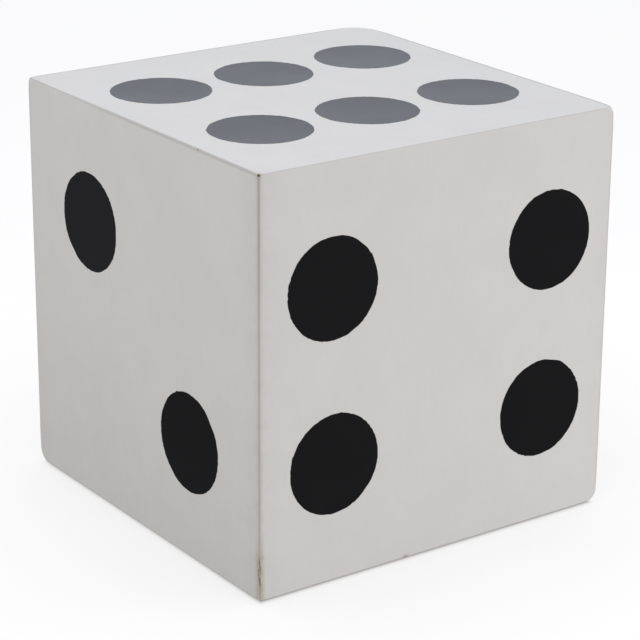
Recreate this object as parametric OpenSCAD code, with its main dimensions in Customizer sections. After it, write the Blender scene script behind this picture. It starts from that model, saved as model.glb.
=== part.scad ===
// Oversized wooden die, closed on all six sides, for use as a low side table or stool.
// Six boards meet in mitres along every edge. Battens and corner posts brace them from
// inside, brads pin the mitres, screws hold the bottom board, and it stands on four glides.
// The origin is on the floor under the middle of the die. +Z is up and -Y is the front.

/* [Cube] */
// Outside width, depth and height over the boards
side = 406; // [392:2:480]
// Thickness of the boards
board_t = 18; // [15:1:22]
// Radius of the eased outside edges
edge_r = 1.5; // [0.5:0.5:4]

/* [Pips] */
// Diameter of a painted pip
pip_d = 99; // [60:1:104]
// Depth that the paint of a pip is let into its face
paint_t = 0.3; // [0.2:0.1:0.6]
// Distance of the outer pips from the middle, along a row of three
pip_col = 121; // [108:1:126]
// Distance of a row of pips from the middle
pip_row = 85; // [56:1:110]
// Distance of the end pips of the two and the three from the middle, both ways
pip_diag = 86; // [78:1:120]
// How far the hand-set pips stray from an exact layout
wander = 1; // [0:0.25:1]

/* [Inside frame] */
// Width and height of the square battens and posts
batten = 25; // [22:1:30]
// Width of the small flat planed along a batten's corners
batten_flat = 1; // [0.5:0.5:2]

/* [Screws] */
// Outside diameter of the screw threads
screw_d = 4.5; // [3.5:0.5:5]
// Diameter of the countersunk screw heads
screw_head_d = 9; // [8:0.5:10]
// Length of the screws that hold the bottom board
bottom_screw_l = 38; // [34:1:40]
// Distance of the paired screws from the middle of a batten
screw_spread = 100; // [80:1:120]
// Radial clearance of every drilled hole round its screw or brad
hole_clear = 0.05; // [0.02:0.01:0.1]

/* [Brads] */
// Diameter of the brads
brad_d = 1.6; // [1.2:0.1:2]
// Length of the brads, with their points
brad_l = 34; // [25:1:38]
// Distance of a brad from the edge that it pins
brad_in = 7; // [6:0.5:9]
// Depth to which the brad heads are set below the face
brad_set = 1.5; // [1:0.5:2.5]

/* [Glides] */
// Diameter of the nailed glides
glide_d = 24; // [18:1:30]
// Height of the glides
glide_h = 3; // [3:0.5:8]
// Distance of the glides' middles from the sides of the die
glide_in = 46; // [40:1:60]

/* [Hidden] */
$fn = 96;
FINE = 0.01;                            // how far a cut runs past the face that it leaves
mid_z = glide_h + side / 2;             // height of the die's middle
inner = side / 2 - board_t;             // middle to the boards' inside faces
inside_z = -board_t - batten;           // a batten's inside face, counted from the outside
batten_in = inner - batten / 2;         // middle to the battens' centre lines
post_l = 2 * (inner - batten);          // posts stand between the upper and lower battens

wall_screw_l = batten + board_t * 0.55; // stops inside the board
wall_screw_in = screw_spread * 0.6;     // clear of the screws through the top and bottom
post_screw_low = 60;                    // heights of the post screws from the middle, which
post_screw_high = 100;                  // differ so that they pass each other
screw_head_h = screw_d * 0.62;
screw_core_r = screw_d * 0.33;
screw_neck_r = screw_d * 0.4;
screw_pitch = 2;
recess_depth = 1.6;                     // cross recess in a screw head
recess_l = screw_head_d * 0.45;
recess_w = 0.9;

brad_head_r = brad_d * 0.7;
brad_head_h = 1.2;
brad_tip = 2;
corner_brad_reach = side / 2 - 26;      // end brads of each row, from the middle
top_brad_reach = side / 2 - 56;

glide_rim = 1;                          // bevel round a glide's foot
glide_nail_r = 1.1;
glide_nail_head_r = 3.2;
glide_nail_head_h = 0.9;
glide_nail_l = 16;
glide_nail_tip = 3;
point_r = 0.1;                          // blunt end of a nail's or screw's point

WHITE_PAINT = [0.87, 0.87, 0.86];
BLACK_PAINT = [0.10, 0.10, 0.11];
PINE = [0.80, 0.66, 0.46];
STEEL = [0.62, 0.62, 0.64];
FILLER = [0.84, 0.80, 0.72];
NYLON = [0.90, 0.87, 0.79];

SIDES = ["front", "right", "back", "left"];

// Each upright corner, as the face that has it on its left and the face that has it on
// its right.
FRONT_LEFT = ["front", "left"];
FRONT_RIGHT = ["right", "front"];
BACK_RIGHT = ["back", "right"];
BACK_LEFT = ["left", "back"];
CORNERS = [FRONT_LEFT, FRONT_RIGHT, BACK_RIGHT, BACK_LEFT];

// ---------------------------------------------------------------- places

// Rotation that stands a face drawn flat, as seen from outside, on its side of the die.
function face_turn(face) =
    face == "front" ? [90, 0, 0] :
    face == "right" ? [90, 0, 90] :
    face == "back" ? [90, 0, 180] :
    face == "left" ? [90, 0, -90] :
    face == "bottom" ? [180, 0, 0] : [0, 0, 0];

// Column and row of each pip on a face, both counted from the middle.
function pip_grid(face) =
    face == "top" ? [[-1, 1], [0, 1], [1, 1], [-1, -1], [0, -1], [1, -1]] :
    face == "front" ? [[-1, 1], [1, 1], [-1, -1], [1, -1]] :
    face == "right" ? [[-1, 1], [1, 1], [0, 0], [-1, -1], [1, -1]] :
    face == "left" ? [[-1, 1], [1, -1]] :
    face == "back" ? [[-1, 1], [0, 0], [1, -1]] : [[0, 0]];

// How far each of those pips strays to the right and up, in millimetres.
function pip_stray(face) =
    face == "top" ? [[-1, 0], [-3, 0], [-2, 2], [1, 2], [0, 1], [0, 2]] :
    face == "front" ? [[-2, -1], [7, -1], [1, -1], [3, -1]] :
    face == "right" ? [[2, 1], [-1, 0], [2, -1], [-2, 1], [1, -1]] :
    face == "left" ? [[-2, -2], [0, 0]] :
    face == "back" ? [[1, -1], [-1, 2], [2, 0]] : [[2, -1]];

// The two and the three lie on a square's diagonal, and the others on the six's grid.
function pip_step(face) =
    face == "left" || face == "back" ? [pip_diag, pip_diag] : [pip_col, pip_row];

function pip_places(face) = [
    for (i = [0 : len(pip_grid(face)) - 1])
        [for (k = [0, 1]) pip_grid(face)[i][k] * pip_step(face)[k] + wander * pip_stray(face)[i][k]]
];

// Evenly spaced positions from -reach to reach.
function spaced(count, reach) = [for (i = [0 : count - 1]) 2 * reach * i / (count - 1) - reach];

// Puts what is drawn on the z = 0 plane onto the outside of a face, with +z outwards.
module on_face(face) {
    translate([0, 0, mid_z]) rotate(face_turn(face)) translate([0, 0, side / 2]) children();
}

// Puts what points down from z = 0 onto a batten's or post's inside face, pointing outwards.
module from_inside(face, x, y) {
    on_face(face) translate([x, y, inside_z]) rotate([180, 0, 0]) children();
}

// Two screws through a side's upper (level 1) or lower (level -1) batten into the board.
module at_wall_screws(face, level) {
    for (x = [-1, 1] * wall_screw_in) from_inside(face, x, level * batten_in) children();
}

// Four screws through a post, two into each of its boards.
module at_post_screws(corner) {
    for (level = [-1, 1]) {
        from_inside(corner[0], -batten_in, level * post_screw_low) children();
        from_inside(corner[1], batten_in, level * post_screw_high) children();
    }
}

// Two screws in each of four battens, through the top or the bottom.
module at_batten_screws() {
    for (q = [0 : 90 : 270], x = [-1, 1] * screw_spread)
        rotate([0, 0, q]) translate([x, batten_in, 0]) children();
}

module at_top_screws() {
    on_face("top") at_batten_screws() translate([0, 0, inside_z]) rotate([180, 0, 0]) children();
}

module at_bottom_screws() {
    on_face("bottom") at_batten_screws() children();
}

// One row of brads down an upright corner, driven from its two faces in turn.
module at_corner_brads(corner) {
    rows = spaced(5, corner_brad_reach);
    for (i = [0 : len(rows) - 1])
        on_face(corner[i % 2])
            translate([(i % 2 * 2 - 1) * (side / 2 - brad_in), rows[i], 0]) children();
}

// Brads through the head of a side board into the top board's edge.
module at_top_brads(face) {
    for (x = spaced(4, top_brad_reach))
        on_face(face) translate([x, side / 2 - brad_in, 0]) children();
}

module at_glide(corner) {
    out = side / 2 - glide_in;
    x = corner == FRONT_LEFT || corner == BACK_LEFT ? -out : out;
    y = corner == FRONT_LEFT || corner == FRONT_RIGHT ? -out : out;
    translate([x, y, 0]) children();
}

// ---------------------------------------------------------------- boards and pips

// Half of a board's section: the eased outside edge, then the mitre.
function mitre_edge(s) = concat(
    [for (a = [90 : -11.25 : 45])
        [s * (side / 2 - edge_r + edge_r * cos(a)), edge_r * sin(a) - edge_r]],
    [[s * inner, -board_t]]
);

function reversed(list) = [for (i = [len(list) - 1 : -1 : 0]) list[i]];

// A board with its outside face at z = 0 and a mitre on all four edges.
module mitred_board() {
    section = concat(mitre_edge(1), reversed(mitre_edge(-1)));
    intersection() {
        rotate([90, 0, 0]) linear_extrude(side, center = true) polygon(section);
        rotate([90, 0, 90]) linear_extrude(side, center = true) polygon(section);
    }
}

module pip_discs(face, past = 0) {
    for (p = pip_places(face))
        translate([p[0], p[1], -paint_t]) cylinder(d = pip_d, h = paint_t + past);
}

module pips(face) {
    color(BLACK_PAINT) on_face(face) pip_discs(face);
}

module board(face) {
    color(WHITE_PAINT) difference() {
        on_face(face) difference() {
            mitred_board();
            pip_discs(face, FINE);
        }
        board_holes(face);
    }
}

// Every hole that brads, screws and glide nails make in one board.
module board_holes(face) {
    for (c = CORNERS) if (c[0] == face || c[1] == face) {
        at_corner_brads(c) brad(hole_clear);
        at_post_screws(c) wood_screw_hole(wall_screw_l);
    }
    for (s = SIDES) if (s == face) {
        at_wall_screws(s, 1) wood_screw_hole(wall_screw_l);
        at_wall_screws(s, -1) wood_screw_hole(wall_screw_l);
    }
    for (s = SIDES) if (s == face || face == "top") at_top_brads(s) brad(hole_clear);
    if (face == "top") at_top_screws() wood_screw_hole(wall_screw_l);
    if (face == "bottom") {
        at_bottom_screws() wood_screw_hole(bottom_screw_l);
        for (c = CORNERS) at_glide(c) glide_nail(hole_clear);
    }
}

// ---------------------------------------------------------------- inside frame

// A planed square stick lying along x.
module stick(length) {
    half = batten / 2;
    flat = batten_flat;
    rotate([90, 0, 90]) linear_extrude(length, center = true) polygon([
        [half - flat, -half], [half, flat - half], [half, half - flat], [half - flat, half],
        [flat - half, half], [-half, half - flat], [-half, flat - half], [flat - half, -half]
    ]);
}

// A batten behind one side, at its top or bottom. The front and back ones run the whole
// width, and the others fit between them.
module side_batten(face, level) {
    through = face == "front" || face == "back";
    color(PINE) difference() {
        on_face(face) translate([0, level * batten_in, inside_z + batten / 2])
            stick(through ? 2 * inner : post_l);
        at_wall_screws(face, level) wood_screw_hole(wall_screw_l);
        if (level > 0) at_top_screws() wood_screw_hole(wall_screw_l);
        else at_bottom_screws() wood_screw_hole(bottom_screw_l);
    }
}

// The post in an upright corner, between the upper and lower battens.
module corner_post(corner) {
    color(PINE) difference() {
        on_face(corner[0]) translate([-batten_in, 0, inside_z + batten / 2])
            rotate([0, 0, 90]) stick(post_l);
        at_post_screws(corner) wood_screw_hole(wall_screw_l);
    }
}

// ---------------------------------------------------------------- fasteners

// Countersunk wood screw with its head at z = 0, pointing down.
module wood_screw(length) {
    thread_top = length * 0.35;
    turns = floor((length - thread_top - screw_d) / screw_pitch);
    difference() {
        rotate_extrude() polygon(concat(
            [[0, 0], [screw_head_d / 2, 0], [screw_neck_r, -screw_head_h],
             [screw_neck_r, -thread_top]],
            [for (i = [0 : turns - 1], k = [0, 1])
                [k == 0 ? screw_core_r : screw_d / 2, -thread_top - (i + 0.2 + k / 2) * screw_pitch]],
            [[screw_core_r, screw_d - length], [point_r, -length], [0, -length]]
        ));
        for (a = [0, 90]) rotate([0, 0, a])
            translate([-recess_l / 2, -recess_w / 2, -recess_depth])
                cube([recess_l, recess_w, recess_depth + FINE]);
    }
}

// The countersunk hole for that screw.
module wood_screw_hole(length) {
    r = screw_d / 2 + hole_clear;
    head_r = screw_head_d / 2 + hole_clear;
    translate([0, 0, -length]) cylinder(r = r, h = length);
    translate([0, 0, -screw_head_h]) cylinder(r1 = r, r2 = head_r, h = screw_head_h);
    translate([0, 0, -FINE]) cylinder(r = head_r, h = 2 * FINE);
}

// Finishing brad driven down from the z = 0 face, its head set below it. With clear above
// 0 it is the hole that the brad leaves.
module brad(clear = 0) {
    past = clear > 0 ? brad_set + FINE : 0;
    translate([0, 0, -brad_set - brad_head_h])
        cylinder(r = brad_head_r + clear, h = brad_head_h + past);
    translate([0, 0, brad_tip - brad_l])
        cylinder(r = brad_d / 2 + clear, h = brad_l - brad_tip - brad_set - FINE);
    translate([0, 0, -brad_l]) cylinder(r1 = point_r, r2 = brad_d / 2 + clear, h = brad_tip);
}

// Plug of filler over a brad. It stops short of the face, where the paint covers it.
module filler_plug() {
    translate([0, 0, -brad_set])
        cylinder(r = brad_head_r + hole_clear, h = brad_set - paint_t);
}

module corner_brads(corner) {
    color(STEEL) at_corner_brads(corner) brad();
}

module top_brads(face) {
    color(STEEL) at_top_brads(face) brad();
}

module nail_hole_filler() {
    color(FILLER) {
        for (c = CORNERS) at_corner_brads(c) filler_plug();
        for (s = SIDES) at_top_brads(s) filler_plug();
    }
}

module top_board_screws() {
    color(STEEL) at_top_screws() wood_screw(wall_screw_l);
}

module bottom_board_screws() {
    color(STEEL) at_bottom_screws() wood_screw(bottom_screw_l);
}

module wall_screws(level) {
    color(STEEL) for (s = SIDES) at_wall_screws(s, level) wood_screw(wall_screw_l);
}

module post_screws() {
    color(STEEL) for (c = CORNERS) at_post_screws(c) wood_screw(wall_screw_l);
}

// ---------------------------------------------------------------- glides

// Nylon disc with a bevelled foot and a sunk hole for its nail.
module glide(corner) {
    r = glide_d / 2;
    foot = [[0, 0], [r - glide_rim, 0], [r, glide_rim], [r, glide_h], [0, glide_h]];
    color(NYLON) at_glide(corner) difference() {
        rotate_extrude() polygon(foot);
        translate([0, 0, -FINE])
            cylinder(r = glide_nail_head_r + hole_clear, h = glide_h / 2 + FINE);
        cylinder(r = glide_nail_r + hole_clear, h = glide_h + FINE);
    }
}

// Nail through a glide, with its head sunk out of reach of the floor.
module glide_nail(clear = 0) {
    shank_l = glide_nail_l - glide_nail_tip;
    translate([0, 0, glide_h / 2]) {
        translate([0, 0, -glide_nail_head_h])
            cylinder(r = glide_nail_head_r, h = glide_nail_head_h);
        translate([0, 0, -FINE]) cylinder(r = glide_nail_r + clear, h = shank_l + 2 * FINE);
        translate([0, 0, shank_l])
            cylinder(r1 = glide_nail_r + clear, r2 = point_r, h = glide_nail_tip);
    }
}

module glide_nails() {
    color(STEEL) for (c = CORNERS) at_glide(c) glide_nail();
}

// ---------------------------------------------------------------- the part

board("top");  // top_board
board("bottom");  // bottom_board
board("front");  // front_board
board("back");  // back_board
board("left");  // left_board
board("right");  // right_board
pips("top");  // top_pips
pips("front");  // front_pips
pips("left");  // left_pips
pips("right");  // right_pips
pips("back");  // back_pips
pips("bottom");  // bottom_pip
corner_post(FRONT_LEFT);  // front_left_post
corner_post(FRONT_RIGHT);  // front_right_post
corner_post(BACK_RIGHT);  // back_right_post
corner_post(BACK_LEFT);  // back_left_post
side_batten("front", 1);  // upper_front_batten
side_batten("right", 1);  // upper_right_batten
side_batten("back", 1);  // upper_back_batten
side_batten("left", 1);  // upper_left_batten
side_batten("front", -1);  // lower_front_batten
side_batten("right", -1);  // lower_right_batten
side_batten("back", -1);  // lower_back_batten
side_batten("left", -1);  // lower_left_batten
corner_brads(FRONT_LEFT);  // front_left_brads
corner_brads(FRONT_RIGHT);  // front_right_brads
corner_brads(BACK_RIGHT);  // back_right_brads
corner_brads(BACK_LEFT);  // back_left_brads
top_brads("front");  // top_front_brads
top_brads("right");  // top_right_brads
top_brads("back");  // top_back_brads
top_brads("left");  // top_left_brads
nail_hole_filler();
top_board_screws();
wall_screws(1);  // upper_wall_screws
wall_screws(-1);  // lower_wall_screws
post_screws();
bottom_board_screws();
glide(FRONT_LEFT);  // front_left_glide
glide(FRONT_RIGHT);  // front_right_glide
glide(BACK_RIGHT);  // back_right_glide
glide(BACK_LEFT);  // back_left_glide
glide_nails();
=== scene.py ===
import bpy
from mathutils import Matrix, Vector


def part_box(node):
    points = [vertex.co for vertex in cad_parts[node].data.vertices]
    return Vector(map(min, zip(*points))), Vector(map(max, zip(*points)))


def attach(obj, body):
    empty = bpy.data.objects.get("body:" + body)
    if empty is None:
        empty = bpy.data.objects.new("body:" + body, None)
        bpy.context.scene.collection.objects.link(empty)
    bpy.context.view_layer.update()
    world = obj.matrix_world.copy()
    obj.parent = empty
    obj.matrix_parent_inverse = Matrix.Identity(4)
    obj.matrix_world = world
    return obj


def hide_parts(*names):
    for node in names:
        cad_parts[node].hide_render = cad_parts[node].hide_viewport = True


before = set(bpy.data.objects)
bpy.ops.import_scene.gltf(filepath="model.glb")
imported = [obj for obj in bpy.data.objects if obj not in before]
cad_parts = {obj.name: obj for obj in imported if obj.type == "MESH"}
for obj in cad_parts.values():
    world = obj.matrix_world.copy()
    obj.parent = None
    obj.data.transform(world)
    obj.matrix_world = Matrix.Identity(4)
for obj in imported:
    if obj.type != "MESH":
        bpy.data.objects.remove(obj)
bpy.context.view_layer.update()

import math
import random

import bmesh
import bpy
from bpy.props import FloatProperty, FloatVectorProperty, IntProperty, PointerProperty
from mathutils import Matrix, Vector

bl_info = {
    "name": "Oversized Wooden Die",
    "version": (1, 0, 0),
    "blender": (4, 5, 0),
    "location": "3D View > Sidebar > Wooden Die",
    "description": "Builds a painted wooden die side table, piece by piece, round its frame",
    "category": "Add Mesh",
}

# ---------------------------------------------------------------- sizes from the frame

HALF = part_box("right_board")[1].x                   # middle of the die to its faces
BOTTOM_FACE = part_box("bottom_board")[0].z           # the height of the glides
TOP_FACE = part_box("top_board")[1].z
BOARD_T = TOP_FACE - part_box("top_board")[0].z
MIDDLE = Vector((0, 0, (TOP_FACE + BOTTOM_FACE) / 2))

# Each face's way right, way up and way out, as seen from outside.
FACES = {
    "top": (Vector((1, 0, 0)), Vector((0, 1, 0)), Vector((0, 0, 1))),
    "bottom": (Vector((1, 0, 0)), Vector((0, -1, 0)), Vector((0, 0, -1))),
    "front": (Vector((1, 0, 0)), Vector((0, 0, 1)), Vector((0, -1, 0))),
    "right": (Vector((0, 1, 0)), Vector((0, 0, 1)), Vector((1, 0, 0))),
    "back": (Vector((-1, 0, 0)), Vector((0, 0, 1)), Vector((0, 1, 0))),
    "left": (Vector((0, -1, 0)), Vector((0, 0, 1)), Vector((-1, 0, 0))),
}
SIDES = ("front", "right", "back", "left")
CORNERS = ("front_left", "front_right", "back_right", "back_left")
PIP_NODES = {face: face + "_pips" for face in FACES if face != "bottom"} | {"bottom": "bottom_pip"}


def on_face(face, right, up):
    """The point that lies so far right of and up from the middle of a face."""
    to_right, to_up, to_out = FACES[face]
    return MIDDLE + to_right * right + to_up * up + to_out * HALF


# Knocks that have gone through the paint: the place, the radius, and how deep it goes there.
CHIPS = (
    (on_face("front", -HALF, HALF), 0.0030, 0.0026),
    (on_face("front", -0.036, -HALF), 0.0030, 0.0012),
    (on_face("left", 0.106, HALF), 0.0020, 0.0006),
    (on_face("left", HALF, -HALF), 0.0036, 0.0028),
    (on_face("right", 0.071, -HALF), 0.0040, 0.0017),
    (on_face("back", -0.118, HALF), 0.0030, 0.0013),
    (on_face("back", -HALF, 0.064), 0.0034, 0.0015),
)

# How far along its edges each corner's rounding reaches: left or right, front or back, bottom
# or top. The nearest top corner is as sharp as the edges.
CORNER_REACH = {
    (1, -1, 1): 0.0120, (1, 1, 1): 0.0300, (-1, 1, 1): 0.0075, (-1, -1, -1): 0.0090,
    (1, -1, -1): 0.0150, (1, 1, -1): 0.0110, (-1, 1, -1): 0.0160,
}

# Where the block is cut into a net for its corners to be shaped: distances in from each face.
NET = (0.0025, 0.004, 0.0055, 0.007, 0.009, 0.011, 0.0135, 0.016, 0.019, 0.023, 0.028, 0.033,
       0.039, 0.046, 0.055)
CORNER_BLEND = 1.35         # how far out a corner is smoothed, in parts of its reach

# The seat of a screw: its mouth in parts of the head's radius, the depth of its cone likewise, and
# the bore in parts of the mouth.
SEAT_MOUTH, SEAT_DEPTH, SEAT_BORE = 1.03, 0.55, 0.52

# How the brush goes round a pip: the seed of its wandering, its sweeps, and the least and most
# angle that half a sweep and half a flat take up.
BRUSH_SEED = 21
SWEEPS, SWEEP_ANGLES, FLAT_ANGLES = 9, (0.12, 0.42), (0.04, 0.10)

# A pip's paint, in parts of its film: how deep its underside is let into the white, how high its
# middle stands, and how much higher its bead. The bead's crest lies so far in, in parts of its width.
LET_IN, STANDS, BEAD_RISE, BEAD_CREST = 0.4, 0.75, 0.25, 0.4

# A glide's foot from its bevel inwards, in parts of its radius: the outer ring, a narrow band that
# keeps the groove's edge crisp, and the groove. The nail's well is this much wider than its nail.
FOOT_RING, FOOT_BAND, FOOT_GROOVE, NAIL_ROOM = 0.16, 0.04, 0.12, 1.04

# The stage, in metres: each softbox's width and place, the floor's width, and how far the camera
# sees. The studio's cooler side lies this way, right and back.
KEY_WIDTH, KEY_PLACE = 0.3, (1.0, -0.85, 0.17)
TOP_WIDTH, TOP_PLACE = 1.2, (-0.3, -0.1, 1.7)
FLOOR_WIDTH, SIGHT = 120, 300
COOL_SIDE = (0.545, 0.767)

# ---------------------------------------------------------------- settings


def length(name, description, default):
    """A setting that is a length in metres."""
    return FloatProperty(name=name, description=description, default=default, min=0, precision=5,
                         unit="LENGTH")


def colour(name, description, default):
    """A setting that is a colour."""
    return FloatVectorProperty(name=name, description=description, default=default, size=3, min=0,
                               max=1, subtype="COLOR")


def angle(name, description, degrees):
    """A setting that is an angle, given in degrees."""
    return FloatProperty(name=name, description=description, default=math.radians(degrees),
                         subtype="ANGLE", unit="ROTATION")


class BoardSettings(bpy.types.PropertyGroup):
    """Sizes of the six painted boards."""

    paint_room: length("Room for Pips", "How far the boards' paint lies inside the frame's faces, "
                       "so that the pips can stand on it", 0.00015)
    edge_radius: length("Edge Radius", "Radius that the edges are eased to", 0.0018)
    seam: length("Seam", "Width of the seam between two boards", 0.00006)
    chip_roughness: length("Chip Roughness", "How uneven the knocked-out hollows are", 0.0005)


class PipSettings(bpy.types.PropertyGroup):
    """Sizes of the painted pips."""

    film: length("Film", "How far the black paint stands out from the white", 0.00013)
    bead: length("Bead", "Width of the thicker rim where the brush stopped", 0.0009)
    wobble: FloatProperty(name="Wobble", description="How far the outline strays from round, as a "
                          "part of its radius", default=0.007, min=0, max=0.1, subtype="FACTOR")
    tremble: length("Tremble", "How far the brush shook along the outline", 0.0006)
    flats: IntProperty(name="Flats", description="Short straight strokes in the outline", default=8,
                       min=0, max=20)
    points: IntProperty(name="Points", description="Points round the outline", default=128, min=32,
                        max=512)


class GlideSettings(bpy.types.PropertyGroup):
    """Sizes of the glides under the bottom."""

    rim: length("Rim", "Bevel round the foot", 0.001)
    groove: length("Groove", "Depth of the moulded ring in the foot", 0.0004)


class FinishSettings(bpy.types.PropertyGroup):
    """Colours of the paints and of the bare materials."""

    white: colour("White Paint", "Satin white on all six faces", (0.657, 0.639, 0.606))
    white_shade: colour("White Paint Shade", "The thinner places in the white", (0.609, 0.593, 0.561))
    black: colour("Black Paint", "Satin black of the pips", (0.0100, 0.0098, 0.0105))
    # Also the colour of painted shade: low on the left face, along the level edges and the top's far
    # edges, and a shadow under the top's left edge.
    grime_and_shade: colour("Grime", "Dirt in the seams and along the edges", (0.30, 0.285, 0.26))
    undercoat: colour("Undercoat", "Tan undercoat where the white is thin", (0.46, 0.395, 0.305))
    core: colour("Bare Core", "Fibreboard where the paint has gone", (0.080, 0.063, 0.043))
    core_light: colour("Core Fibres", "Lighter fibres in the bare board", (0.225, 0.170, 0.115))
    pine: colour("Pine", "Pale wood between the grain lines", (0.62, 0.44, 0.25))
    pine_grain: colour("Pine Grain", "Dark lines of the grain", (0.40, 0.23, 0.10))
    steel: colour("Steel", "Zinc-plated screws, brads and nails", (0.60, 0.60, 0.61))
    filler: colour("Filler", "Wood filler over the brads", (0.74, 0.69, 0.60))
    nylon: colour("Nylon", "Moulded glides", (0.72, 0.68, 0.58))


class StageSettings(bpy.types.PropertyGroup):
    """The floor, the light and the camera."""

    floor: colour("Floor", "Pale studio floor", (0.470, 0.460, 0.448))
    floor_glow: FloatProperty(name="Floor Glow", description="How much the floor glows round the "
                              "die, which softens the shadows on it", default=0.56, min=0)
    sky_low: colour("Low Light", "Cool light from low behind the die", (0.83, 0.88, 0.985))
    sky_high: colour("High Light", "Light from all round above", (0.925, 0.945, 1.0))
    sky_strength: FloatProperty(name="Light Strength", description="Strength of the studio's light",
                                default=0.885, min=0)
    key_power: FloatProperty(name="Key Light", description="Power of the soft light on the right, "
                             "in watts", default=2.4, min=0)
    key_tint: colour("Key Tint", "Colour of the soft light on the right", (0.97, 0.95, 1.0))
    top_power: FloatProperty(name="Top Light", description="Power of the soft light overhead, in "
                             "watts", default=6.0, min=0)
    top_tint: colour("Top Tint", "Colour of the soft light overhead", (0.965, 0.960, 1.0))
    azimuth: angle("Azimuth", "How far the camera stands round from the front", -35.39)
    elevation: angle("Elevation", "How far above level it stands", 19.93)
    roll: angle("Roll", "How far it leans", 0.39)
    distance: length("Distance", "From the middle of the die to the camera", 6.039 * 2 * HALF)
    aim_right: FloatProperty(name="Aim Right", description="How far the camera's axis passes to the "
                             "right of the middle", default=0.0134 * 2 * HALF, unit="LENGTH")
    aim_up: FloatProperty(name="Aim Up", description="How far the camera's axis passes above the "
                          "middle", default=-0.0727 * 2 * HALF, unit="LENGTH")
    lens: FloatProperty(name="Lens", description="Focal length of the camera, in millimetres",
                        default=139.2, min=20, max=400)


# ---------------------------------------------------------------- shader recipes


class Socket:
    """A shader node's output. Sums with it add Math nodes to its recipe."""

    def __init__(self, recipe, output):
        self.recipe = recipe
        self.output = output

    def maths(self, operation, *values):
        return self.recipe.node("ShaderNodeMath", {"operation": operation}, dict(enumerate(values)))

    def __add__(self, other):
        return self.maths("ADD", self, other)

    def __sub__(self, other):
        return self.maths("SUBTRACT", self, other)

    def __mul__(self, other):
        return self.maths("MULTIPLY", self, other)

    def __rsub__(self, other):
        return self.maths("SUBTRACT", other, self)

    def __abs__(self):
        return self.maths("ABSOLUTE", self)

    __radd__ = __add__
    __rmul__ = __mul__

    def lesser(self, other):
        return self.maths("MINIMUM", self, other)

    def greater(self, other):
        return self.maths("MAXIMUM", self, other)

    def ramp(self, low, high):
        """0 where this is at low, 1 where it is at high, and eased between them."""
        return self.recipe.node("ShaderNodeMapRange", {"interpolation_type": "SMOOTHSTEP"},
                                {"Value": self, "From Min": low, "From Max": high})


class Recipe:
    """The nodes of one material or world, and the one method that adds them."""

    def __init__(self, owner):
        owner.use_nodes = True
        self.owner = owner
        self.tree = owner.node_tree
        self.tree.nodes.clear()

    def node(self, kind, settings, inputs, output=0):
        """Adds a node of a kind, sets it up, then fills its inputs with values or sockets."""
        made = self.tree.nodes.new(kind)
        made.location.x = 200 * len(self.tree.nodes)
        for name, value in settings.items():
            setattr(made, name, value)
        for name, value in inputs.items():
            if isinstance(value, Socket):
                self.tree.links.new(value.output, made.inputs[name])
            else:
                made.inputs[name].default_value = value
        return Socket(self, made.outputs[output]) if made.outputs else made

    def place(self, centre=(0, 0, 0), turn=(0, 0, 0), scale=(1, 1, 1)):
        """Object coordinates counted from a centre, then turned and scaled."""
        spot = self.node("ShaderNodeTexCoord", {}, {}, "Object")
        spot = self.node("ShaderNodeVectorMath", {"operation": "SUBTRACT"}, {0: spot, 1: centre})
        return self.node("ShaderNodeMapping", {}, {"Vector": spot, "Rotation": turn, "Scale": scale})

    def axes(self, vector):
        """The three numbers of a vector."""
        split = self.node("ShaderNodeSeparateXYZ", {}, {0: vector}).output.node
        return [Socket(self, end) for end in split.outputs]

    def noise(self, vector, grain, detail=2.0, roughness=0.5):
        """Noise from 0 to 1 with blots of about a grain's size, in metres."""
        return self.node("ShaderNodeTexNoise", {},
                         {"Vector": vector, "Scale": 1 / grain, "Detail": detail,
                          "Roughness": roughness})

    def gap(self, vector, point):
        """The distance of a vector from a point."""
        return self.node("ShaderNodeVectorMath", {"operation": "DISTANCE"},
                         {0: vector, 1: point}, "Value")

    def mix(self, amount, first, second):
        """A colour that goes from the first to the second."""
        settings = {"data_type": "RGBA"}
        inputs = {0: amount, 6: rgba(first), 7: rgba(second)}
        return self.node("ShaderNodeMix", settings, inputs, 2)

    def bump(self, height, distance, strength, under=None):
        """A normal that follows a height of 0 to 1, over that many metres."""
        inputs = {"Height": height, "Distance": distance, "Strength": strength}
        if under:
            inputs["Normal"] = under
        return self.node("ShaderNodeBump", {}, inputs)

    def surface(self, **inputs):
        """Ends a material in a Principled BSDF, whose inputs are named with underscores."""
        named = {name.replace("_", " ").title().replace("Ior", "IOR"): value
                 for name, value in inputs.items()}
        if not isinstance(named.get("Base Color"), Socket):
            named["Base Color"] = rgba(named["Base Color"])
        shader = self.node("ShaderNodeBsdfPrincipled", {}, named)
        self.node("ShaderNodeOutputMaterial", {}, {"Surface": shader})
        return self.owner


def rgba(value):
    """A colour with its alpha, or the socket that gives one."""
    return value if isinstance(value, Socket) else (*value, 1.0)


def toned(tint, factor):
    """A colour made paler or darker by a factor."""
    return [min(1, value * factor) for value in tint]


def recipe(name):
    """A new material's empty recipe."""
    return Recipe(bpy.data.materials.new(name))


# ---------------------------------------------------------------- finishes


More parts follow.
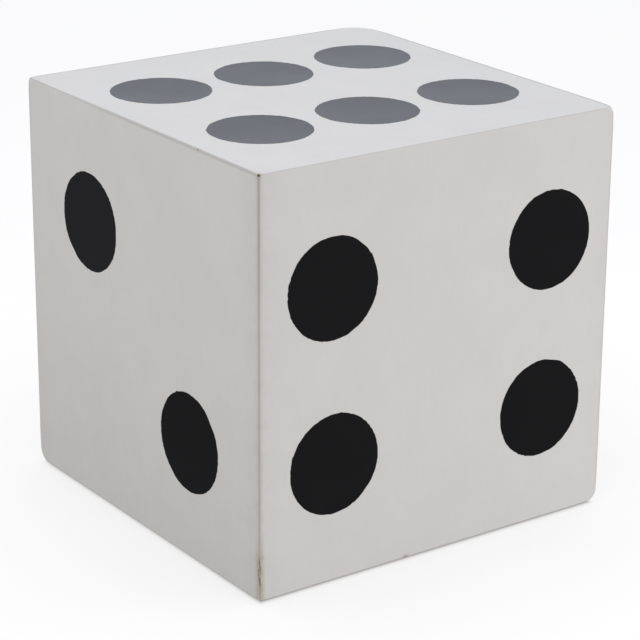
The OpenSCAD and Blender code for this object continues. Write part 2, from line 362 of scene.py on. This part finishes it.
def white_paint(finish):
    """Satin white brushed on fibreboard, grimy along the seams, with painted shade low on the left and
    along some edges, and worn through at one edge.
    """
    mix = recipe("satin_white_paint")
    spot = mix.place(MIDDLE)
    across, along, height = mix.axes(spot)
    wide, deep, tall = abs(across), abs(along), abs(height)

    # On a face, the second largest of the three tells how far the nearest edge is.
    low = wide.lesser(deep).lesser(tall)
    high = wide.greater(deep).greater(tall)
    to_edge = HALF + low + high - wide - deep - tall
    to_upright = HALF - wide.lesser(deep)
    near = (across + along).ramp(-1.70 * HALF, -1.97 * HALF)

    mottle = mix.noise(spot, 0.045, 5.0, 0.6)
    fleck = mix.noise(spot, 0.0016, 3.0, 0.7)
    nibs = mix.noise(spot, 0.0032, 1.0)
    blots = mix.noise(spot, 0.012, 4.0, 0.65)
    strokes = mix.noise(mix.place(MIDDLE, scale=(260, 260, 26)), 1.0, 3.0, 0.6)
    drips = mix.noise(mix.place(MIDDLE, scale=(460, 460, 75)), 1.0, 3.0, 0.6)

    shade = mottle.ramp(0.25, 0.75) * 0.50 + strokes * 0.40 + fleck * 0.2
    paint = mix.mix(shade + nibs.ramp(0.72, 0.80) * 0.8, finish.white, finish.white_shade)

    # Dirt lies in a soft band beside the upright edges. On the left face, blotchy painted shade darkens
    # towards the bottom.
    band = to_upright.ramp(0.030, 0.0) * (0.05 + blots.ramp(0.40, 0.75) * 0.10) * (0.4 + near * 0.6)
    left_low_shade = height.ramp(0.1 * HALF, -HALF) * across.ramp(-0.97 * HALF, -0.99 * HALF) * 0.13
    paint = mix.mix(band + left_low_shade * (0.6 + blots * 0.8), paint, finish.grime_and_shade)

    # The edges show as dark lines: grime in the seams of the uprights, sharpest at the top of the
    # nearest one;
    # grime and painted shade along the level edges, most on the left and the back; painted shade along
    # the top's far edges; and a wider painted shadow under the top's left edge, towards the front.
    crown = height.ramp(0.20 * HALF, 0.75 * HALF) * near
    on_left = across.ramp(-0.975 * HALF, -0.99 * HALF)
    on_back = along.ramp(0.975 * HALF, 0.99 * HALF)
    broad = to_upright.ramp(0.0050, 0.0012) * (0.16 + blots * 0.22) * (0.5 + near * 0.5)
    sharp = to_upright.ramp(0.0026, 0.0006) * (0.55 - near * 0.30 + blots * 0.25 + crown * 0.35)
    level = 0.25 + blots * 0.25 + on_left.greater(on_back) * 0.35
    level_edge_grime_and_shade = to_edge.ramp(0.0020, 0.0003) * level
    far_top_edges = across.greater(along).ramp(0.97 * HALF, 0.98 * HALF)
    far_top_edges = far_top_edges * height.ramp(0.99 * HALF, 0.995 * HALF)
    far_edge_painted_shade = to_edge.ramp(0.0050, 0.0022) * far_top_edges * (0.45 + blots * 0.30)
    eaves = across.ramp(-0.985 * HALF, -0.99 * HALF) * height.ramp(0.97 * HALF, 0.98 * HALF)
    painted_shadow_under_top = to_edge.ramp(0.0036, 0.0012) * eaves * along.ramp(0.9 * HALF, -0.1 * HALF) * 0.5
    lines = sharp.greater(level_edge_grime_and_shade).greater(far_edge_painted_shade).greater(painted_shadow_under_top)
    paint = mix.mix(broad, paint, finish.undercoat)
    paint = mix.mix(lines, paint, finish.grime_and_shade)

    # At the heel of the nearest edge the white has thinned to the undercoat, then worn through.
    heel = height.ramp(-0.60 * HALF, -0.84 * HALF) * near
    thin = to_upright.ramp(0.0085, 0.0020) * heel.greater(near * 0.18) * (0.35 + blots * 0.8)
    paint = mix.mix(thin, paint, finish.undercoat)
    rubbing = drips + blots * 0.30 + heel * 0.22 - to_upright * 50
    worn = rubbing.ramp(0.76, 0.92) * 0.85

    # Round each chip the white is stained and thin, and the core shows at its rim.
    for point, radius, _ in CHIPS:
        halo = mix.gap(spot, point - MIDDLE) + fleck * 0.002
        stain = halo.ramp(radius * 2.6, radius) * 0.4
        paint = mix.mix(stain, paint, finish.undercoat)
        worn = worn.greater(halo.ramp(radius + 0.0010, radius) * 0.6)
    core = mix.mix(fleck, finish.core, finish.core_light)
    paint = mix.mix(worn, paint, core)

    normal = mix.bump(strokes, 0.00022, 0.5)
    normal = mix.bump(fleck, 0.00012, 0.35, normal)
    return mix.surface(base_color=paint, roughness=0.34 + strokes * 0.14 + worn * 0.4, normal=normal)


def black_paint(finish):
    """Satin black laid on with a small brush."""
    mix = recipe("satin_black_paint")
    spot = mix.place(MIDDLE)
    brushed = mix.place(MIDDLE, turn=(0.7, 0.5, 0.8), scale=(420, 420, 30))
    strokes = mix.noise(brushed, 1.0, 3.0, 0.6)
    cloud = mix.noise(spot, 0.05, 3.0)
    dust = mix.noise(spot, 0.0013, 2.0, 0.6).ramp(0.70, 0.78)
    black = mix.mix(dust * 0.10, finish.black, finish.white_shade)
    return mix.surface(base_color=black, roughness=0.22 + cloud * 0.10 + strokes * 0.06,
                       normal=mix.bump(strokes, 0.00006, 0.5))


def bare_core(finish):
    """Fibreboard as the saw leaves it."""
    mix = recipe("bare_fibreboard")
    spot = mix.place(MIDDLE)
    fibres = mix.noise(spot, 0.0012, 4.0, 0.7)
    cloud = mix.noise(spot, 0.03, 3.0)
    return mix.surface(base_color=mix.mix(fibres * 0.7 + cloud * 0.3, finish.core, finish.core_light),
                       roughness=0.85 + fibres * 0.1, normal=mix.bump(fibres, 0.0002, 0.6))


def pine(finish, axis):
    """Planed pine with its grain along one axis."""

    def drawn_out(along, across):
        """A scale that differs along the grain and across it."""
        return [along if name == axis else across for name in "xyz"]

    mix = recipe("pine_along_" + axis)
    spot = mix.place(MIDDLE, turn=(0.02, 0.03, 0.02), scale=drawn_out(2.2, 30))
    wander = mix.noise(spot, 1.6, 3.0)
    rings = mix.node("ShaderNodeTexWave", {"wave_type": "RINGS", "rings_direction": axis.upper()},
                     {"Vector": spot, "Scale": 1.9, "Distortion": 3.0, "Detail": 2.0}, 1)
    pores = mix.noise(mix.place(MIDDLE, scale=drawn_out(40, 900)), 1.0)
    grain = rings * 0.55 + wander * 0.3 + pores * 0.15
    return mix.surface(base_color=mix.mix(grain.ramp(0.35, 0.85), finish.pine, finish.pine_grain),
                       roughness=0.62 + grain * 0.15, normal=mix.bump(grain, 0.00025, 0.5))


def zinc_plate(finish):
    """Bright plating with a fine tumbled grain."""
    mix = recipe("zinc_plated_steel")
    spot = mix.place(MIDDLE)
    grain = mix.noise(spot, 0.0007, 3.0, 0.6)
    cloud = mix.noise(spot, 0.006)
    plate = mix.mix(cloud, finish.steel, toned(finish.steel, 1.2))
    return mix.surface(base_color=plate, metallic=1.0,
                       roughness=0.24 + grain * 0.22, normal=mix.bump(grain, 0.00003, 0.4))


def chalky_filler(finish):
    """Dry filler, sanded flat."""
    mix = recipe("sanded_filler")
    grit = mix.noise(mix.place(MIDDLE), 0.0004, 3.0, 0.7)
    chalk = mix.mix(grit, finish.filler, toned(finish.filler, 1.15))
    return mix.surface(base_color=chalk, roughness=0.88 + grit * 0.08,
                       normal=mix.bump(grit, 0.00005, 0.5))


def moulded_nylon(finish):
    """Off-white nylon, scuffed by the floor."""
    mix = recipe("moulded_nylon")
    scuffs = mix.noise(mix.place(MIDDLE, turn=(0, 0, 0.4), scale=(900, 120, 200)), 1.0, 3.0, 0.6)
    sole = -HALF - BOTTOM_FACE
    foot = mix.axes(mix.place(MIDDLE))[2].ramp(sole + 0.0011, sole + 0.0001)
    scuffed = foot * scuffs.ramp(0.45, 0.7) * 0.6
    return mix.surface(base_color=mix.mix(scuffed, finish.nylon, toned(finish.nylon, 0.62)),
                       roughness=0.38 + scuffs * 0.2, normal=mix.bump(scuffs, 0.00008, 0.5))


# ---------------------------------------------------------------- modelling helpers


def only(piece):
    """Makes a piece the one selected and active object."""
    bpy.ops.object.select_all(action="DESELECT")
    piece.select_set(True)
    bpy.context.view_layer.objects.active = piece


def fresh(add, **settings):
    """Adds a primitive with nothing else selected, and puts its place into its mesh."""
    bpy.ops.object.select_all(action="DESELECT")
    add(**settings)
    bpy.ops.object.transform_apply()
    return bpy.context.object


def edit(piece):
    """Opens a piece in edit mode with nothing selected."""
    only(piece)
    bpy.ops.object.mode_set(mode="EDIT")
    bpy.ops.mesh.select_all(action="DESELECT")


def close():
    """Leaves edit mode."""
    bpy.ops.object.mode_set(mode="OBJECT")


def choose(piece, kind, wanted):
    """Selects just the verts, edges or faces that pass a test, in edit mode."""
    bpy.ops.mesh.select_all(action="DESELECT")
    bpy.context.tool_settings.mesh_select_mode = [kind == name for name in ("verts", "edges", "faces")]
    mesh = bmesh.from_edit_mesh(piece.data)
    for item in getattr(mesh, kind):
        if wanted(item):
            item.select_set(True)
    bmesh.update_edit_mesh(piece.data)


def raise_by(height):
    """Extrudes what is selected straight up, or down for a height below 0."""
    bpy.ops.mesh.extrude_region_move(TRANSFORM_OT_translate={"value": (0, 0, height)})


def broad_face(way):
    """A test for the many-sided faces that look up, for a way of 1, or down, for -1."""
    return lambda face: face.normal.z * way > 0.9 and len(face.verts) > 8


def copy_of(piece):
    """A copy of a piece with its own mesh, made the active object."""
    only(piece)
    bpy.ops.object.duplicate()
    return bpy.context.object


def modify(piece, kind, **settings):
    """Adds a modifier to a piece and applies it."""
    only(piece)
    modifier = piece.modifiers.new(kind.title(), kind)
    for name, value in settings.items():
        setattr(modifier, name, value)
    bpy.ops.object.modifier_apply(modifier=modifier.name)


def remove(piece):
    """Deletes a helper object and its mesh."""
    mesh = piece.data
    bpy.data.objects.remove(piece)
    bpy.data.meshes.remove(mesh)


def joined(pieces):
    """One object made of several."""
    only(pieces[0])
    for piece in pieces:
        piece.select_set(True)
    bpy.ops.object.join()
    return bpy.context.object


def turn_to_face(piece, face):
    """Moves a piece drawn round the origin, facing up, onto the outside of a face."""
    only(piece)
    right, up, out = FACES[face]
    turn = Matrix((right, up, out)).transposed().to_4x4()
    piece.matrix_world = Matrix.Translation(on_face(face, 0, 0)) @ turn @ piece.matrix_world
    bpy.ops.object.transform_apply()


def finish_piece(piece, name, replaced):
    """Names a piece, shades it, and hangs it on the frame in place of its CAD nodes."""
    only(piece)
    bpy.ops.object.transform_apply()
    bpy.ops.object.shade_smooth_by_angle(angle=math.radians(30))
    piece.name = name
    piece.data.name = name
    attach(piece, "root")
    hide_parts(*replaced)


def islands(node):
    """Lowest and highest corner of each separate solid in a CAD node."""
    scrap = copy_of(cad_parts[node])
    edit(scrap)
    bpy.ops.mesh.select_all(action="SELECT")
    bpy.ops.mesh.remove_doubles(threshold=1e-6)
    bpy.ops.mesh.separate(type="LOOSE")
    close()
    boxes = []
    for part in list(bpy.context.selected_objects):
        points = [vertex.co for vertex in part.data.vertices]
        low = Vector([min(point[i] for point in points) for i in range(3)])
        high = Vector([max(point[i] for point in points) for i in range(3)])
        boxes.append((low, high))
        remove(part)
    return boxes


# ---------------------------------------------------------------- boards


def cut_away(piece, tool):
    """Cuts a tool's shape out of a piece, whose second material shows where it went."""
    for material in piece.data.materials:
        tool.data.materials.append(material)
    for polygon in tool.data.polygons:
        polygon.material_index = 1
    modify(piece, "BOOLEAN", operation="DIFFERENCE", solver="EXACT", object=tool)
    remove(tool)


def round_corner(block, corner, reach):
    """Sands a corner to a ball that meets its three edges at a reach from it, and smooths it."""
    corner = Vector(corner)
    half = max(vertex.co.x for vertex in block.data.vertices)
    centre = MIDDLE + corner * (half - reach)
    size = reach * math.sqrt(2)
    ball = bpy.data.objects.new("ball", None)
    bpy.context.scene.collection.objects.link(ball)
    ball.location = centre
    proud = block.vertex_groups.new(name="proud")
    for vertex in block.data.vertices:
        away = vertex.co - centre
        if away.length > size and min(away[i] * corner[i] for i in range(3)) > 0:
            proud.add([vertex.index], 1, "REPLACE")
    modify(block, "CAST", cast_type="SPHERE", object=ball, size=size, use_radius_as_size=False,
           factor=1, radius=0, vertex_group="proud")
    block.vertex_groups.clear()
    bpy.data.objects.remove(ball)
    edit(block)
    tip = MIDDLE + corner * half
    choose(block, "verts", lambda vert: (vert.co - tip).length < CORNER_BLEND * reach)
    passes = 4 + round(200 * reach)                 # a wider corner takes more of them
    bpy.ops.mesh.vertices_smooth(factor=0.5, repeat=passes)
    close()


def sanded_block(board, materials):
    """The die as one solid block with eased edges and worn corners, before it is sawn."""
    half = HALF - board.paint_room
    block = fresh(bpy.ops.mesh.primitive_cube_add, size=2 * half, location=MIDDLE)
    for material in materials:
        block.data.materials.append(material)
    edit(block)
    for _, _, out in FACES.values():
        for depth in NET:
            bpy.ops.mesh.select_all(action="SELECT")
            bpy.ops.mesh.bisect(plane_co=MIDDLE + out * (half - depth), plane_no=out)
    choose(block, "edges", lambda edge: edge.calc_face_angle(0) > math.radians(45))
    bpy.ops.mesh.bevel(offset=board.edge_radius, segments=4, affect="EDGES")
    close()
    for corner, reach in CORNER_REACH.items():
        round_corner(block, corner, reach)
    return block


def saw(point, normal):
    """Cuts off what lies beyond a plane and closes the cut, in edit mode."""
    bpy.ops.mesh.select_all(action="SELECT")
    bpy.ops.mesh.bisect(plane_co=point, plane_no=normal, use_fill=True, clear_outer=True)


def sawn_board(block, face, board):
    """The mitred board that lies behind one face of the block."""
    piece = copy_of(block)
    right, up, out = FACES[face]
    edit(piece)
    for way in (right, -right, up, -up):
        normal = (way - out).normalized()
        saw(MIDDLE - normal * board.seam / 2, normal)
    saw(MIDDLE + out * (HALF - BOARD_T), -out)
    close()
    return piece


def knock_chips(piece, face, board):
    """Knocks the chips that touch a face out of its board."""
    for seed, (tip, radius, depth) in enumerate(CHIPS):
        off_middle = tip - MIDDLE
        touches = off_middle.dot(FACES[face][2]) > 0.999 * HALF
        if not touches:
            continue
        outward = Vector([round(value / HALF) for value in off_middle]).normalized()
        tool = fresh(bpy.ops.mesh.primitive_ico_sphere_add, subdivisions=3, radius=radius,
                     location=tip + outward * (radius - depth))
        edit(tool)
        bpy.ops.mesh.select_all(action="SELECT")
        bpy.ops.transform.vertex_random(offset=board.chip_roughness, seed=seed)
        close()
        cut_away(piece, tool)


def countersink(piece, node):
    """Drills and countersinks a board from below for the screws of a CAD node."""
    bits = []
    for low, high in islands(node):
        centre, head_r = (low + high) / 2, (high.x - low.x) / 2
        bottom = Vector((centre.x, centre.y, low.z))
        bit = fresh(bpy.ops.mesh.primitive_cylinder_add, vertices=48, radius=SEAT_MOUTH * head_r,
                    depth=head_r, location=bottom - Vector((0, 0, head_r / 2)))
        edit(bit)
        choose(bit, "faces", broad_face(1))
        for rise, narrowing in ((SEAT_DEPTH * head_r, SEAT_BORE), (2 * BOARD_T, 1)):
            raise_by(rise)
            bpy.ops.transform.resize(value=(narrowing, narrowing, 1), center_override=bottom)
        close()
        bits.append(bit)
    cut_away(piece, joined(bits))


class DIE_OT_add_boards(bpy.types.Operator):
    """Add the six mitred boards, sawn from one block so that their seams and wear meet"""

    bl_idname = "die.add_boards"
    bl_label = "Add Boards"

    def execute(self, context):
        board, finish = context.scene.die_boards, context.scene.die_finish
        block = sanded_block(board, [white_paint(finish), bare_core(finish)])
        for face in FACES:
            piece = sawn_board(block, face, board)
            # The mitres and the inside are bare.
            for polygon in piece.data.polygons:
                if polygon.normal.dot(FACES[face][2]) < 0:
                    polygon.material_index = 1
            knock_chips(piece, face, board)
            if face == "bottom":
                countersink(piece, "bottom_board_screws")
            finish_piece(piece, face + "_painted_board", [face + "_board"])
        remove(block)
        return {"FINISHED"}


# ---------------------------------------------------------------- pips


def choose_stretch(pip, centre, angles, dice):
    """Selects a stretch of a pip's outline, at a random place and of a random length."""
    way, spread = dice.uniform(0, 2 * math.pi), dice.uniform(*angles)
    heading = Vector((math.cos(way), math.sin(way), 0))
    choose(pip, "verts", lambda vert: (vert.co - centre).angle(heading) < spread)


def painted_pip(centre, radius, pips, dice):
    """One pip brushed on by hand: not quite round, with a bead of paint round its rim."""
    pip = fresh(bpy.ops.mesh.primitive_circle_add, vertices=pips.points, radius=radius,
                fill_type="NGON", location=centre)
    edit(pip)
    for _ in range(SWEEPS):
        choose_stretch(pip, centre, SWEEP_ANGLES, dice)
        grow = 1 + dice.uniform(-1, 1) * pips.wobble
        bpy.ops.transform.resize(value=(grow, grow, 1), center_override=centre)
    choose(pip, "verts", lambda vert: True)
    bpy.ops.mesh.vertices_smooth(factor=0.5, repeat=6)
    bpy.ops.transform.vertex_random(offset=pips.tremble, seed=dice.randrange(1000))
    bpy.ops.transform.resize(value=(1, 1, 0), center_override=centre)
    for _ in range(pips.flats):
        choose_stretch(pip, centre, FLAT_ANGLES, dice)
        bpy.ops.mesh.dissolve_verts()
    choose(pip, "faces", lambda face: True)
    raise_by((LET_IN + STANDS) * pips.film)
    choose(pip, "faces", broad_face(1))
    bpy.ops.mesh.inset(thickness=BEAD_CREST * pips.bead, depth=BEAD_RISE * pips.film)
    bpy.ops.mesh.inset(thickness=(1 - BEAD_CREST) * pips.bead, depth=-BEAD_RISE * pips.film)
    bpy.ops.mesh.select_all(action="SELECT")
    bpy.ops.mesh.normals_make_consistent()
    close()
    return pip


class DIE_OT_add_pips(bpy.types.Operator):
    """Add the painted pips, one object to a face"""

    bl_idname = "die.add_pips"
    bl_label = "Add Pips"

    def execute(self, context):
        pips, finish = context.scene.die_pips, context.scene.die_finish
        room = context.scene.die_boards.paint_room
        paint = black_paint(finish)
        dice = random.Random(BRUSH_SEED)
        for face, node in PIP_NODES.items():
            right, up, _ = FACES[face]
            painted = []
            for low, high in islands(node):
                middle = (low + high) / 2 - MIDDLE
                radius = (high - low).dot(Vector([abs(value) for value in right])) / 2
                centre = Vector((middle.dot(right), middle.dot(up), -room - LET_IN * pips.film))
                painted.append(painted_pip(centre, radius, pips, dice))
            piece = joined(painted)
            turn_to_face(piece, face)
            piece.data.materials.append(paint)
            finish_piece(piece, node + "_paint", [node])
        return {"FINISHED"}


# ---------------------------------------------------------------- glides


def moulded_glide(low, high, nail_r, glides):
    """A nylon disc with a bevelled foot, a moulded ring and a well for its nail."""
    centre, radius, height = (low + high) / 2, (high.x - low.x) / 2, high.z - low.z
    glide = fresh(bpy.ops.mesh.primitive_cylinder_add, vertices=64, radius=radius, depth=height,
                  location=centre)
    edit(glide)
    choose(glide, "edges", lambda edge: all(vert.co.z < centre.z for vert in edge.verts))
    bpy.ops.mesh.bevel(offset=glides.rim, segments=4, affect="EDGES")
    choose(glide, "faces", broad_face(-1))
    inner_ring = 1 - FOOT_RING - FOOT_BAND - FOOT_GROOVE
    bpy.ops.mesh.inset(thickness=FOOT_RING * radius)
    bpy.ops.mesh.inset(thickness=FOOT_BAND * radius)
    raise_by(glides.groove)
    bpy.ops.mesh.inset(thickness=FOOT_GROOVE * radius)
    raise_by(-glides.groove)
    bpy.ops.mesh.inset(thickness=inner_ring * radius - glides.rim - nail_r)
    raise_by(height / 2)
    close()
    return glide


class DIE_OT_add_glides(bpy.types.Operator):
    """Add the four glides under the bottom board"""

    bl_idname = "die.add_glides"
    bl_label = "Add Glides"

    def execute(self, context):
        glides, nylon = context.scene.die_glides, moulded_nylon(context.scene.die_finish)
        nails = islands("glide_nails")
        nail_r = (nails[0][1].x - nails[0][0].x) / 2
        for corner in CORNERS:
            node = corner + "_glide"
            piece = moulded_glide(*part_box(node), nail_r * NAIL_ROOM, glides)
            piece.data.materials.append(nylon)
            finish_piece(piece, node + "_moulded", [node])
        return {"FINISHED"}


# ---------------------------------------------------------------- carried-over pieces


def dress(node, material):
    """Gives a CAD node its finish in place of the plain one it came with."""
    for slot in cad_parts[node].material_slots:
        slot.material = material


class DIE_OT_finish_timber(bpy.types.Operator):
    """Give the battens and posts their pine, with the grain along each one"""

    bl_idname = "die.finish_timber"
    bl_label = "Finish Timber"

    def execute(self, context):
        woods = {axis: pine(context.scene.die_finish, axis) for axis in "xyz"}
        for level in ("upper", "lower"):
            for side in SIDES:
                dress(f"{level}_{side}_batten", woods["x" if side in ("front", "back") else "y"])
        for corner in CORNERS:
            dress(corner + "_post", woods["z"])
        return {"FINISHED"}


class DIE_OT_finish_fixings(bpy.types.Operator):
    """Plate the screws, brads and nails, and colour the filler"""

    bl_idname = "die.finish_fixings"
    bl_label = "Finish Fixings"

    def execute(self, context):
        zinc = zinc_plate(context.scene.die_finish)
        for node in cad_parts:
            if node.endswith(("screws", "brads", "nails")):
                dress(node, zinc)
        dress("nail_hole_filler", chalky_filler(context.scene.die_finish))
        return {"FINISHED"}


# ---------------------------------------------------------------- stage


def studio_sky(stage):
    """A pale studio all round: cooler and dimmer low down behind the die, and dark just under
    the floor's level, for the gloss of the black paint. Straight below is lit for the underside."""
    world = bpy.data.worlds.new("studio")
    bpy.context.scene.world = world
    mix = Recipe(world)
    way = mix.node("ShaderNodeTexCoord", {}, {}, "Generated")
    across, along, height = mix.axes(way)
    behind = (across * COOL_SIDE[0] + along * COOL_SIDE[1]).ramp(0.45, 0.85)
    sky = mix.mix(behind * height.ramp(0.62, 0.45), stage.sky_high, stage.sky_low)
    beneath = (along - across).ramp(0.5, 1.2) * height.ramp(-0.40, -0.26) * 0.16
    level = (1 + across * 0.12 + along * 0.04) * height.ramp(-0.02, 0.02)
    below = height.ramp(-0.72, -0.84) * 1.2
    strength = level.greater(beneath).greater(below) * stage.sky_strength
    light = mix.node("ShaderNodeBackground", {}, {"Color": sky, "Strength": strength})
    mix.node("ShaderNodeOutputWorld", {}, {"Surface": light})


def soft_light(name, power, tint, width, place):
    """A square softbox that faces the middle of the die, and isn't mirrored in its paint."""
    data = bpy.data.lights.new(name, "AREA")
    data.energy = power
    data.color = tint
    data.size = width
    light = bpy.data.objects.new(name, data)
    bpy.context.scene.collection.objects.link(light)
    light.location = place
    light.rotation_euler = (Vector(place) - MIDDLE).to_track_quat("Z", "Y").to_euler()
    light.visible_camera = False
    light.visible_glossy = False


def studio_floor(stage):
    """A wide pale floor that glows a little round the die, and isn't mirrored in its paint."""
    floor = fresh(bpy.ops.mesh.primitive_grid_add, x_subdivisions=4, y_subdivisions=4,
                  size=FLOOR_WIDTH)
    floor.name = "studio_floor"
    floor.visible_glossy = False
    mix = recipe("studio_floor")
    spot = mix.place()
    across, along, _ = mix.axes(spot)
    beyond = abs(across).greater(abs(along)) - HALF
    # The glow stops just inside the die's outline, which paints a dark shadow line under its bottom
    # edges.
    glow_with_painted_shadow = mix.mix(beyond.ramp(-0.0096, -0.0014), (0, 0, 0), (1, 1, 1))
    matt = mix.mix(mix.noise(spot, 0.7), stage.floor, toned(stage.floor, 0.99))
    floor.data.materials.append(mix.surface(
        base_color=matt, roughness=0.9, emission_color=glow_with_painted_shadow, emission_strength=stage.floor_glow,
        specular_ior_level=0.0))


def studio_camera(stage):
    """A long lens that looks down on the near corner."""
    level, rise = stage.azimuth, stage.elevation
    back = Vector((math.sin(level) * math.cos(rise), -math.cos(level) * math.cos(rise), math.sin(rise)))
    right = Vector((math.cos(level), math.sin(level), 0))
    up = back.cross(right)
    right, up = (right * math.cos(stage.roll) + up * math.sin(stage.roll),
                 up * math.cos(stage.roll) - right * math.sin(stage.roll))
    data = bpy.data.cameras.new("studio_camera")
    data.lens = stage.lens
    data.clip_end = SIGHT
    camera = bpy.data.objects.new("studio_camera", data)
    bpy.context.scene.collection.objects.link(camera)
    place = MIDDLE + back * stage.distance + right * stage.aim_right + up * stage.aim_up
    camera.matrix_world = Matrix.Translation(place) @ Matrix((right, up, back)).transposed().to_4x4()
    bpy.context.scene.camera = camera


class DIE_OT_set_stage(bpy.types.Operator):
    """Set up the pale floor, the soft light and the camera"""

    bl_idname = "die.set_stage"
    bl_label = "Set Stage"

    def execute(self, context):
        stage = context.scene.die_stage
        context.scene.view_settings.view_transform = "Standard"
        studio_sky(stage)
        soft_light("key_softbox", stage.key_power, stage.key_tint, KEY_WIDTH, KEY_PLACE)
        soft_light("top_softbox", stage.top_power, stage.top_tint, TOP_WIDTH, TOP_PLACE)
        studio_floor(stage)
        studio_camera(stage)
        return {"FINISHED"}


# ---------------------------------------------------------------- panel and registration

OPERATORS = (DIE_OT_set_stage, DIE_OT_add_boards, DIE_OT_add_pips, DIE_OT_add_glides,
             DIE_OT_finish_timber, DIE_OT_finish_fixings)
SETTINGS = {"die_boards": BoardSettings, "die_pips": PipSettings, "die_glides": GlideSettings,
            "die_finish": FinishSettings, "die_stage": StageSettings}


class DIE_PT_sidebar(bpy.types.Panel):
    """Settings and steps of the wooden die"""

    bl_label = "Wooden Die"
    bl_idname = "DIE_PT_sidebar"
    bl_space_type = "VIEW_3D"
    bl_region_type = "UI"
    bl_category = "Wooden Die"

    def draw(self, context):
        for name, group in SETTINGS.items():
            box = self.layout.box()
            box.label(text=group.__doc__)
            for setting in group.__annotations__:
                box.prop(getattr(context.scene, name), setting)
        for operator in OPERATORS:
            self.layout.operator(operator.bl_idname)


def register():
    """Registers the settings, the operators and the panel."""
    for made in (*SETTINGS.values(), *OPERATORS, DIE_PT_sidebar):
        bpy.utils.register_class(made)
    for name, group in SETTINGS.items():
        setattr(bpy.types.Scene, name, PointerProperty(type=group))


def unregister():
    """Takes them out again."""
    for name in SETTINGS:
        delattr(bpy.types.Scene, name)
    for made in (DIE_PT_sidebar, *reversed(OPERATORS), *reversed(SETTINGS.values())):
        bpy.utils.unregister_class(made)


def main():
    """Builds the whole die."""
    register()
    bpy.ops.die.set_stage()
    bpy.ops.die.add_boards()
    bpy.ops.die.add_pips()
    bpy.ops.die.add_glides()
    bpy.ops.die.finish_timber()
    bpy.ops.die.finish_fixings()


if __name__ == "__main__":
    main()
